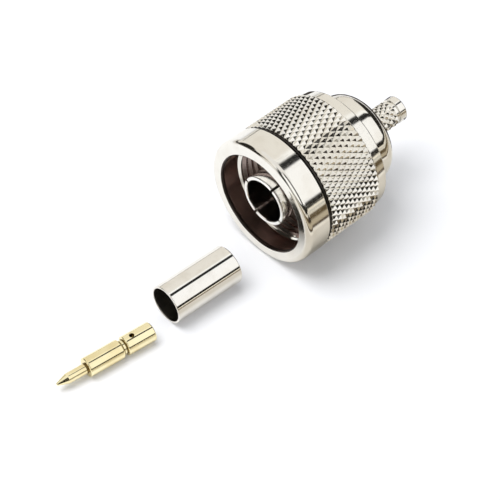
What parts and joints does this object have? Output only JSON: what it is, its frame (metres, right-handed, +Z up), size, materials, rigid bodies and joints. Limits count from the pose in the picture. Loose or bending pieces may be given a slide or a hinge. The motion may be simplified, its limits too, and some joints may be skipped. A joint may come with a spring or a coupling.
{
  "type": "coaxial cable plug",
  "caption": "Coaxial cable plug with a knurled threaded coupling nut and a slotted outer contact, set out with its loose crimp ferrule and gold centre contact.",
  "frame": {"origin": "centre of the coupling nut's mouth, on the plug's axis", "axes": "+X along the plug's axis from the mouth to the cable end, +Z up from the surface that the set lies on"},
  "size_m": [0.0684, 0.0208, 0.0208],
  "materials": {
    "nut_nickel": "polished nickel plate on brass, knurled",
    "body_nickel": "polished nickel plate on brass",
    "contact_silver": "bright plate on spring brass",
    "ptfe": "waxy white",
    "silicone": "matte",
    "spring_bronze": "bare spring bronze",
    "ferrule_nickel": "bright nickel plate",
    "gold": "pale gold plate"
  },
  "bodies": {
    "plug": {"plug_body": "body_nickel", "outer_contact": "contact_silver", "insulator": "ptfe", "gasket": "silicone", "snap_ring": "spring_bronze", "crimp_ferrule": "ferrule_nickel", "centre_contact": "gold"},
    "nut": {"coupling_nut": "nut_nickel"}
  },
  "joints": [
    {"name": "nut_spin", "type": "hinge", "parent": "plug", "child": "nut", "pos_m": [0.008, 0, 0], "axis": [1, 0, 0], "continuous": true}
  ]
}
